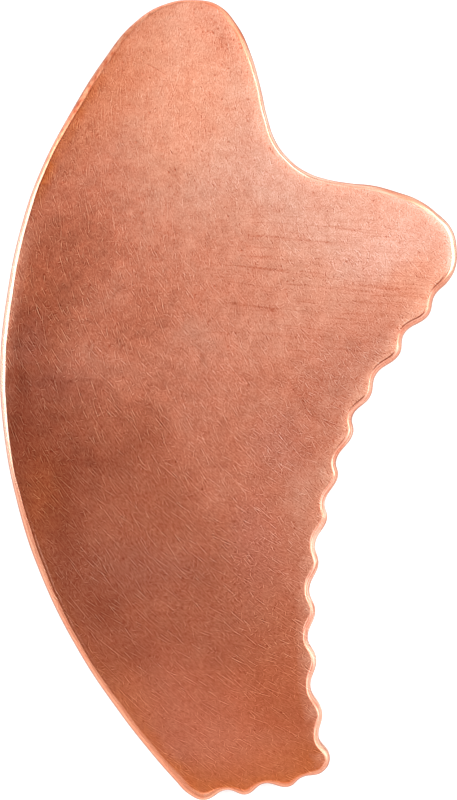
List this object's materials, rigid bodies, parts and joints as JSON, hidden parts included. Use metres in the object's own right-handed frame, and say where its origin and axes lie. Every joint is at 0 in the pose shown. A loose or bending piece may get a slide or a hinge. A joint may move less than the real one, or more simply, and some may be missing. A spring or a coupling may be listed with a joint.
{
  "type": "gua sha tool",
  "caption": "Flat scraping plate of solid copper with a long curved back, rounded head, hollow neck, blunt nose and a scalloped comb edge; one piece with a rounded rim.",
  "frame": {"origin": "middle of the plate's box, on its flat back face", "axes": "+X across the plate from the curved back edge to the nose and the comb edge; +Y along the plate from the toe to the rounded head; +Z out of the front face"},
  "size_m": [0.0628, 0.11, 0.003],
  "materials": {
    "copper": "hand-polished solid copper with fine scratches and light tarnish"
  },
  "bodies": {
    "root": {"scraping_plate": "copper"}
  },
  "joints": []
}
